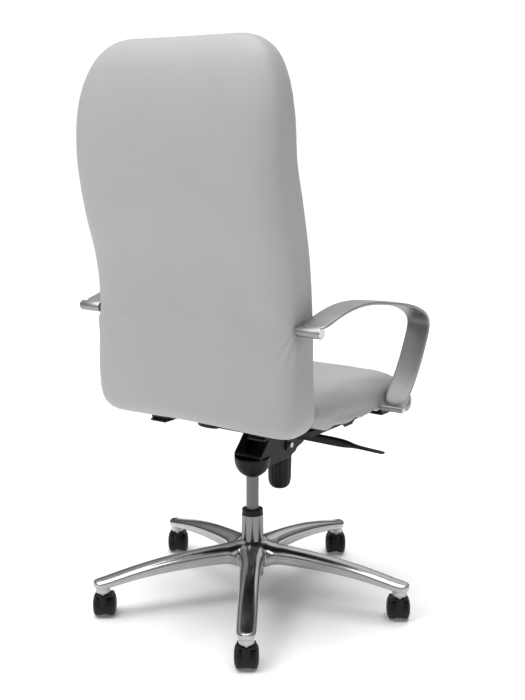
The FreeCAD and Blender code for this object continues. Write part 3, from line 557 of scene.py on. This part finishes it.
knob_steps = [(0.0052, 0.0005, 0), (0.0110, 0.0, 0), (0.0165, 0.0022, 0), (0.0215, 0.0066, 0.0004),
              (0.0248, 0.0130, 0.0010), (0.0264, 0.0220, 0.0015), (0.0274, knob_tall - 0.006, 0.0016),
              (0.0277, knob_tall - 0.004, 0.0004), (0.0280, knob_tall - 0.002, 0), (0.0276, knob_tall, 0),
              (0.0244, knob_tall, 0), (0.0238, knob_tall - 0.002, 0), (0.0220, 0.030, 0), (0.0052, 0.028, 0),
              (0.0052, 0.0005, 0)]
knob = skin("fluted_tension_knob", [knob_ring(*step) for step in knob_steps], capped=False)
place(knob, shift=(knob_middle.x, knob_middle.y, knob_low.z))
close(knob, 40)
moulded.on(knob)
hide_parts("tension_knob")
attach(knob, "tension_knob")

zinc.on(*(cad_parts[node] for node in ("pivot_shaft", "tension_bolt", "tilt_spring")))
enamel.on(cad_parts["seat_plate"])
zinc.on(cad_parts["seat_plate_screws"])


# ---------------------------------------------------------------- levers
# Moulded over steel rods. The height lever on the sitter's right is a thick grip that thins to a flat paddle,
# and its inner finger presses the release pin. The shorter tilt lock on the left ends in a round grip.

def oblong(x, middle_y, middle_z, half_y, half_z, count=16, power=3.2):
    """A rounded-rectangle ring across X."""
    ring = []
    for step in range(count):
        turn = math.tau * (step + 0.5) / count
        across = math.copysign(abs(math.cos(turn)) ** (2 / power), math.cos(turn))
        up = math.copysign(abs(math.sin(turn)) ** (2 / power), math.sin(turn))
        ring.append(Vector((x, middle_y + half_y * across, middle_z + half_z * up)))
    return ring


lever_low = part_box("height_lever")[0]
rod_y = -0.050
rod_z = 0.391
reach = lever_low.x
grip_stations = [(-0.044, 0.0, 0.0050, 0.0060), (-0.047, 0.0, 0.0060, 0.0085),
                 (-0.056, 0.0008, 0.0066, 0.0096), (-0.110, 0.0006, 0.0068, 0.0097),
                 (-0.180, 0.0, 0.0068, 0.0097),
                 (-0.206, -0.0006, 0.0070, 0.0090), (-0.221, -0.0016, 0.0074, 0.0056),
                 (-0.236, -0.0026, 0.0078, 0.0029), (-0.260, -0.0038, 0.0084, 0.0021),
                 (reach + 0.008, -0.0050, 0.0086, 0.0019), (reach + 0.002, -0.0054, 0.0070, 0.0017),
                 (reach + 0.0004, -0.0055, 0.0040, 0.0010)]
grip = skin("grip", [oblong(x, rod_y, rod_z + lift, half_y, half_z)
                     for x, lift, half_y, half_z in grip_stations])
close(grip)
modify(grip, "SUBSURF", levels=2, render_levels=2)
rod_rings = [oblong(x, rod_y, rod_z, radius, radius, 24, 2.0)
             for x, radius in ((-0.066, 0.006), (0.002, 0.006), (0.0038, 0.0045))]
rod = close(skin("lever_rod", rod_rings), 40)
press_z = lever_low.z
finger_line = [(-0.055, rod_z - 0.004), (-0.055, rod_z + 0.004), (-0.045, rod_z + 0.004),
               (0.005, press_z + 0.010), (0.005, press_z), (-0.005, press_z)]
finger = close(skin("finger", [[Vector((x, y, z)) for y, z in finger_line] for x in (-0.006, 0.004)]))
modify(finger, "BEVEL", width=0.0008, segments=2, limit_method="ANGLE", angle_limit=math.radians(30))


def cross_pin(x, height):
    """The steel pin across a lever that its housing lugs hold."""
    pin = turned("cross_pin", [(0.0020, -0.0125), (0.0025, -0.0120), (0.0025, 0.0120), (0.0020, 0.0125)], 20)
    return close(place(pin, shift=(x, rod_y, height), tip=Matrix.Rotation(math.pi / 2, 4, "X")), 40)


lever = join("height_lever_paddle", close(grip), rod, close(finger, 35), cross_pin(-0.040, rod_z))
moulded.on(lever)
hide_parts("height_lever")
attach(lever, "height_lever")

lock_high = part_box("tilt_lock_lever")[1]
lock_z = 0.377
tip_x = lock_high.x
lock_stations = [(tip_x - 0.062, 0.0058, 0.0058), (tip_x - 0.058, 0.0085, 0.0075),
                 (tip_x - 0.048, 0.0125, 0.0088),
                 (tip_x - 0.030, 0.0140, 0.0092), (tip_x - 0.012, 0.0128, 0.0086),
                 (tip_x - 0.003, 0.0085, 0.0060), (tip_x - 0.0004, 0.0040, 0.0030)]
lock_grip = skin("lock_grip", [oblong(x, rod_y, lock_z, half_y, half_z)
                               for x, half_y, half_z in lock_stations])
close(lock_grip)
modify(lock_grip, "SUBSURF", levels=2, render_levels=2)
lock_rod = skin("lock_rod", [oblong(x, rod_y, lock_z, radius, radius, 24, 2.0)
                             for x, radius in ((0.0282, 0.0050), (0.029, 0.006), (tip_x - 0.055, 0.006))])
lock = join("tilt_lock_grip", close(lock_grip), close(lock_rod, 40), cross_pin(0.040, lock_z))
moulded.on(lock)
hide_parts("tilt_lock_lever")
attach(lock, "tilt_lock_lever")


# ---------------------------------------------------------------- seat
# A foam pad on a black-stained plywood board, covered in light grey synthetic leather that is pulled down
# over the sides and the rolled front edge. The cover is made as cloth, blown up by the foam inside it.

def superellipse(half_x, low_y, high_y, height, count, rear_power, front_power):
    """A level ring whose rear and front halves have corners of their own sharpness."""
    middle = (low_y + high_y) / 2
    half_y = (high_y - low_y) / 2
    ring = []
    for step in range(count):
        turn = math.tau * step / count
        power = rear_power if math.sin(turn) > 0 else front_power
        across = math.copysign(abs(math.cos(turn)) ** (2 / power), math.cos(turn))
        along = math.copysign(abs(math.sin(turn)) ** (2 / power), math.sin(turn))
        ring.append(Vector((half_x * across, middle + half_y * along, height)))
    return ring


def inflate(piece, voxel, push, most, held=None):
    """Gives a cushion an even skin and blows it up as cloth, moving no point further than the given most."""
    modify(piece, "REMESH", mode="VOXEL", voxel_size=voxel)
    modify(piece, "SMOOTH", factor=0.5, iterations=6)
    started = [vertex.co.copy() for vertex in piece.data.vertices]
    cloth = piece.modifiers.new("cover", "CLOTH")
    cloth.settings.quality = 5
    cloth.settings.tension_stiffness = 12
    cloth.settings.compression_stiffness = 12
    cloth.settings.bending_stiffness = 1.5
    cloth.settings.use_pressure = True
    cloth.settings.uniform_pressure_force = push
    cloth.settings.effector_weights.gravity = 0
    if held:
        group = piece.vertex_groups.new(name="held")
        for vertex in piece.data.vertices:
            if held(vertex.co):
                group.add([vertex.index], 1.0, "REPLACE")
        cloth.settings.vertex_group_mass = "held"
        cloth.settings.pin_stiffness = 1.0
    scene.frame_start = 1
    scene.frame_end = 20
    for number in range(1, 21):
        scene.frame_set(number)
    bpy.context.view_layer.objects.active = piece
    bpy.ops.object.modifier_apply(modifier=cloth.name)
    piece.vertex_groups.clear()
    for vertex, start in zip(piece.data.vertices, started):
        moved = vertex.co - start
        if moved.length > most:
            vertex.co = start + moved * (most / moved.length)
    scene.frame_set(1)
    return piece


def fit(piece, low, high):
    """Stretches a cushion to its full size again after its cover has drawn it in."""
    for axis in range(3):
        along = [vertex.co[axis] for vertex in piece.data.vertices]
        least = min(along)
        stretch = (high[axis] - low[axis]) / (max(along) - least)
        for vertex in piece.data.vertices:
            vertex.co[axis] = low[axis] + (vertex.co[axis] - least) * stretch


seat_low, seat_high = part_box("seat_cushion")
seat_half = seat_high.x - 0.004
seat_levels = [(0.0, 0.020), (0.002, 0.010), (0.008, 0.004), (0.018, 0.0005), (0.034, 0.0), (0.044, 0.002),
               (0.052, 0.008), (0.059, 0.020), (0.064, 0.042), (0.068, 0.080), (0.071, 0.130),
               (0.0725, 0.170)]
seat_rings = []
for rise, inset in seat_levels:
    nose = 0.006 + 1.25 * inset
    seat_rings.append(superellipse(seat_half - inset, seat_low.y + nose, seat_high.y - 0.004 - 0.8 * inset,
                                   seat_low.z + rise, 72, 9, 7))
seat = close(skin("seat_pad", seat_rings))
inflate(seat, 0.0065, 3.0, 0.005, held=lambda spot: spot.z < seat_low.z + 0.004)
modify(seat, "SUBSURF", levels=1, render_levels=1)
fit(seat, seat_low, seat_high)

for vertex in seat.data.vertices:
    spot = vertex.co
    edge = max(abs(spot.x) / seat_half, abs(spot.y - (seat_low.y + seat_high.y) / 2) / 0.184)
    pull = math.exp(-((spot.z - seat_low.z - 0.002) / 0.006) ** 2)
    ripple = 0.0011 * math.sin(spot.y * 92 + spot.x * 60) + 0.0007 * math.sin(spot.y * 173 - spot.x * 131)
    if edge > 0.9:
        vertex.co.z += pull * 2.2 * ripple
close(seat)
modify(seat, "SMOOTH", factor=0.4, iterations=2)

leather = Finish("light_grey_leather", grey(0.385), {"Specular IOR Level": 0.40, "Sheen Weight": 0.06})
pebble = leather.cells(0.0016)
patch = leather.noise(0.10, 3)
leather.paint(patch, grey(0.37), grey(0.405))
leather.roughen(0.44 + 0.10 * patch + 0.12 * leather.noise(0.004, 2))
creases = leather.noise(0.022, 4)
leather.bump(0.5 * pebble + 0.9 * creases, 0.0007, 0.30)
leather.on(seat)
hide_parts("seat_cushion")
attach(seat, "seat")

stained = Finish("black_stained_plywood", grey(0.02), {"Specular IOR Level": 0.3})
veneer = stained.noise(0.004, 4, stained.stretched((1, 0.08, 1)))
stained.paint(veneer, grey(0.012), grey(0.030))
stained.roughen(0.62 + 0.2 * veneer)
stained.on(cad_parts["seat_board"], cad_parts["back_board"])
enamel.on(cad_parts["back_brackets"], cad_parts["arm_brackets"])


# ---------------------------------------------------------------- back
# A one-piece padded back, S-shaped from the side, with broad round shoulders. The same leather wraps round
# from the rear to a seam just behind the front edge, and each arm's rear rod pulls it into small folds.

back_low, back_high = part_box("back_cushion")
BACK_SHRINK = 0.001
BACK_FULLER = 0.004
BOTTOM_ARCH = 0.009
SHOULDER_START = 1.000
SHOULDER_WIDTH = 0.125
SHOULDER_POWER = 2.4
FOOT_ROUND = 0.050
rear_line = [(0.430, 0.236), (0.500, 0.250), (0.560, 0.254), (0.650, 0.247), (0.723, 0.242), (0.790, 0.252),
             (0.870, 0.279), (0.950, 0.295), (1.040, 0.297), (1.120, 0.288), (1.225, 0.260)]
front_line = [(0.430, 0.123), (0.560, 0.126), (0.660, 0.129), (0.730, 0.136), (0.820, 0.148), (0.919, 0.171),
              (0.990, 0.192), (1.060, 0.196), (1.130, 0.193), (1.225, 0.183)]


def along_line(line, height):
    """Depth of a side line at a height, on a smooth curve through its points."""
    for index in range(1, len(line) - 2):
        if height <= line[index + 1][0]:
            break
    (z0, y0), (z1, y1), (z2, y2), (z3, y3) = line[index - 1:index + 3]
    share = (height - z1) / (z2 - z1)
    slope_1 = (y2 - y0) / (z2 - z0) * (z2 - z1)
    slope_2 = (y3 - y1) / (z3 - z1) * (z2 - z1)
    return ((2 * share ** 3 - 3 * share ** 2 + 1) * y1 + (share ** 3 - 2 * share ** 2 + share) * slope_1
            + (3 * share ** 2 - 2 * share ** 3) * y2 + (share ** 3 - share ** 2) * slope_2)


def back_half_width(height):
    """Half width of the back at a height: straight sides, broad shoulders and small round lower corners."""
    half = back_high.x + BACK_FULLER - BACK_SHRINK
    if height > SHOULDER_START:
        rise = min((height - SHOULDER_START) / (back_high.z + 0.004 - SHOULDER_START), 1)
        half += SHOULDER_WIDTH * ((1 - rise ** SHOULDER_POWER) ** (1 / SHOULDER_POWER) - 1)
    foot = height - back_low.z
    if foot < FOOT_ROUND:
        half -= FOOT_ROUND * 0.8 * (1 - math.sqrt(max(0.0, 1 - (1 - foot / FOOT_ROUND) ** 2)))
    return half


back_rings = []
back_top = back_high.z + BACK_FULLER
levels = [0, 0.003, 0.009, 0.018, 0.030, 0.045] + [0.045 + 0.0278 * step for step in range(1, 25)]
levels += [back_top - back_low.z - drop for drop in (0.038, 0.026, 0.016, 0.008, 0.003, 0.0006)]
for rise in levels:
    height = back_low.z + rise
    near_end = min(rise, back_top - height)
    rounding = 0.040 if rise < 0.2 else 0.050
    full = math.sqrt(max(0.0, 1 - (1 - min(near_end / rounding, 1)) ** 2))
    share = 0.42 + 0.58 * full
    rear = along_line(rear_line, height) - BACK_SHRINK
    front = along_line(front_line, height) - 0.010 + BACK_SHRINK
    middle = front + 0.54 * (rear - front)
    back_rings.append(superellipse(back_half_width(height), middle - (middle - front) * share,
                                   middle + (rear - middle) * share, height, 88, 3.6, 6.5))
back = close(skin("back_pad", back_rings))
ROD_HEIGHT = 0.677
rod_low, rod_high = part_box("right_arm_rear_rod")
rod_depth = (rod_low.y + rod_high.y) / 2


def near_rod(spot):
    return abs(spot.x) > 0.225 and math.hypot(spot.y - rod_depth, spot.z - ROD_HEIGHT) < 0.012


inflate(back, 0.0068, 4.0, 0.0035, held=near_rod)
modify(back, "SMOOTH", factor=0.5, iterations=10)
modify(back, "SUBSURF", levels=1, render_levels=1)
fit(back, back_low - Vector((0.005, 0, 0)), back_high + Vector((0.005, 0, 0.006)))
SEAM_BACK_OF_FRONT = 0.016
outwards = [vertex.normal.copy() for vertex in back.data.vertices]
for vertex, outward in zip(back.data.vertices, outwards):
    x, y, z = vertex.co
    front = along_line(front_line, z) - 0.010
    side = abs(x) / back_half_width(z)
    seam = math.exp(-((y - front - SEAM_BACK_OF_FRONT) / 0.0030) ** 2)
    groove = 0.0016 * seam * (1 if side > 0.9 else 0)
    from_rod = Vector((0, y - rod_depth, z - ROD_HEIGHT))
    distance = math.hypot(max(0.0, 0.243 - abs(x)), from_rod.length)
    tuck = 0.006 * math.exp(-(distance / 0.020) ** 2)
    folds = 0.0
    if distance < 0.16:
        swing = math.atan2(max(0.0, 0.243 - abs(x)) + max(0.0, y - rod_depth), ROD_HEIGHT - z)
        fade = math.exp(-(distance / 0.065) ** 2) * (1 - math.exp(-(distance / 0.015) ** 2))
        folds = 0.0026 * fade * math.sin(swing * 15) * math.exp(-((swing - 0.55) / 0.45) ** 2)
    vertex.co += outward * folds
    near_bottom = math.exp(-max(0.0, z - back_low.z) / 0.035)
    vertex.co.z += BOTTOM_ARCH * near_bottom * max(0.0, 1 - (abs(x) / 0.235) ** 2.5)
    vertex.co.x -= math.copysign(groove + tuck * (1 if side > 0.85 else 0), x)
close(back)
leather.on(back)
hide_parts("back_cushion")
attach(back, "seat")


# ---------------------------------------------------------------- arms
# Each arm is a wide flat bar of satin aluminium bent into an arch with a tight front corner. Its rear end
# wraps a round rod let into the back, and its foot and boss are bolted to a bracket under the seat.

arm_line = [(0.203, 0.6875), (0.173, 0.6930), (0.145, 0.7010), (0.101, 0.7100), (0.050, 0.7145),
            (-0.007, 0.7115), (-0.077, 0.7000), (-0.138, 0.6915), (-0.197, 0.6750), (-0.228, 0.6600),
            (-0.2445, 0.6450), (-0.2480, 0.6250), (-0.2400, 0.6050), (-0.2320, 0.5880), (-0.208, 0.5430),
            (-0.175, 0.4990), (-0.133, 0.4590)]
BAR_THICK = 0.007
BAR_SOFT = 0.0012


def bar_ring(before, here, after, share, left, right):
    """Section of the bar, square to its line, with softened edges."""
    along = Vector((0, after[0] - before[0], after[1] - before[1])).normalized()
    inward = Vector((0, -along.z, along.y))
    thick = BAR_THICK * (1 + 0.5 * share ** 3)
    outer = Vector((0, *here))
    ring = []
    for across, depth in ((left + BAR_SOFT, 0), (right - BAR_SOFT, 0), (right, BAR_SOFT),
                          (right, thick - BAR_SOFT), (right - BAR_SOFT, thick),
                          (left + BAR_SOFT, thick), (left, thick - BAR_SOFT),
                          (left, BAR_SOFT)):
        ring.append(Vector((across, 0, 0)) + outer + inward * depth)
    return ring


satin = Finish("satin_aluminium", grey(0.31), {"Metallic": 1.0})
rubbed = satin.noise(0.05, 3)
satin.paint(rubbed, grey(0.28), grey(0.34))
satin.roughen(0.40 + 0.10 * rubbed + 0.06 * satin.noise(0.002, 2))
satin.bump(satin.noise(0.0012, 2), 0.00003, 0.5)
for side in ("right", "left"):
    arm_low, arm_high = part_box(f"{side}_arm")
    rings = []
    for index, here in enumerate(arm_line):
        before = arm_line[max(index - 1, 0)]
        after = arm_line[min(index + 1, len(arm_line) - 1)]
        rings.append(bar_ring(before, here, after, index / (len(arm_line) - 1), arm_low.x, arm_high.x))
    bar = close(skin(f"{side}_bar", rings))
    modify(bar, "SUBSURF", levels=3, render_levels=3)
    foot = [(arm_low.x, 0.0050), (arm_low.x + 0.001, 0.0060), (arm_high.x - 0.001, 0.0060),
            (arm_high.x, 0.0050)]
    foot = close(skin("foot", [oblong(x, -0.129, 0.460, radius, radius, 28, 2.6) for x, radius in foot]), 40)
    inner, outer = sorted((arm_low.x, arm_high.x), key=abs)
    way = math.copysign(1, outer)
    boss_steps = [(0.0, 0.0200), (0.001, 0.0210), (0.036, 0.0210), (0.039, 0.0204), (0.041, 0.0188),
                  (0.0418, 0.0150), (0.0418, 0.0075), (0.0405, 0.0070), (0.0405, 0.0020)]
    boss = skin("boss", [oblong(inner + way * out, -0.172, 0.468, radius, radius, 40, 2.0)
                         for out, radius in boss_steps])
    loop = join(f"{side}_arm_loop", close(bar), foot, close(boss, 40))
    satin.on(loop)
    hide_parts(f"{side}_arm")
    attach(loop, "seat")
    spigot = inner - way * 0.040
    rod_steps = [(spigot, 0.006), (inner, 0.006), (inner, 0.0098), (inner + way * 0.001, 0.0105),
                 (outer - way * 0.001, 0.0105), (outer, 0.0098), (outer, 0.003)]
    rear_rod = close(skin(f"{side}_rear_rod", [oblong(x, 0.203, ROD_HEIGHT, radius, radius, 40, 2.0)
                                               for x, radius in rod_steps]), 40)
    satin.on(rear_rod)
    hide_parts(f"{side}_arm_rear_rod")
    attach(rear_rod, "seat")

bright = Finish("bright_end_caps", grey(0.62), {"Metallic": 1.0})
bright.roughen(0.24 + 0.1 * bright.noise(0.004))
bright.on(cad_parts["arm_end_caps"])
zinc.on(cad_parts["arm_bolts"])
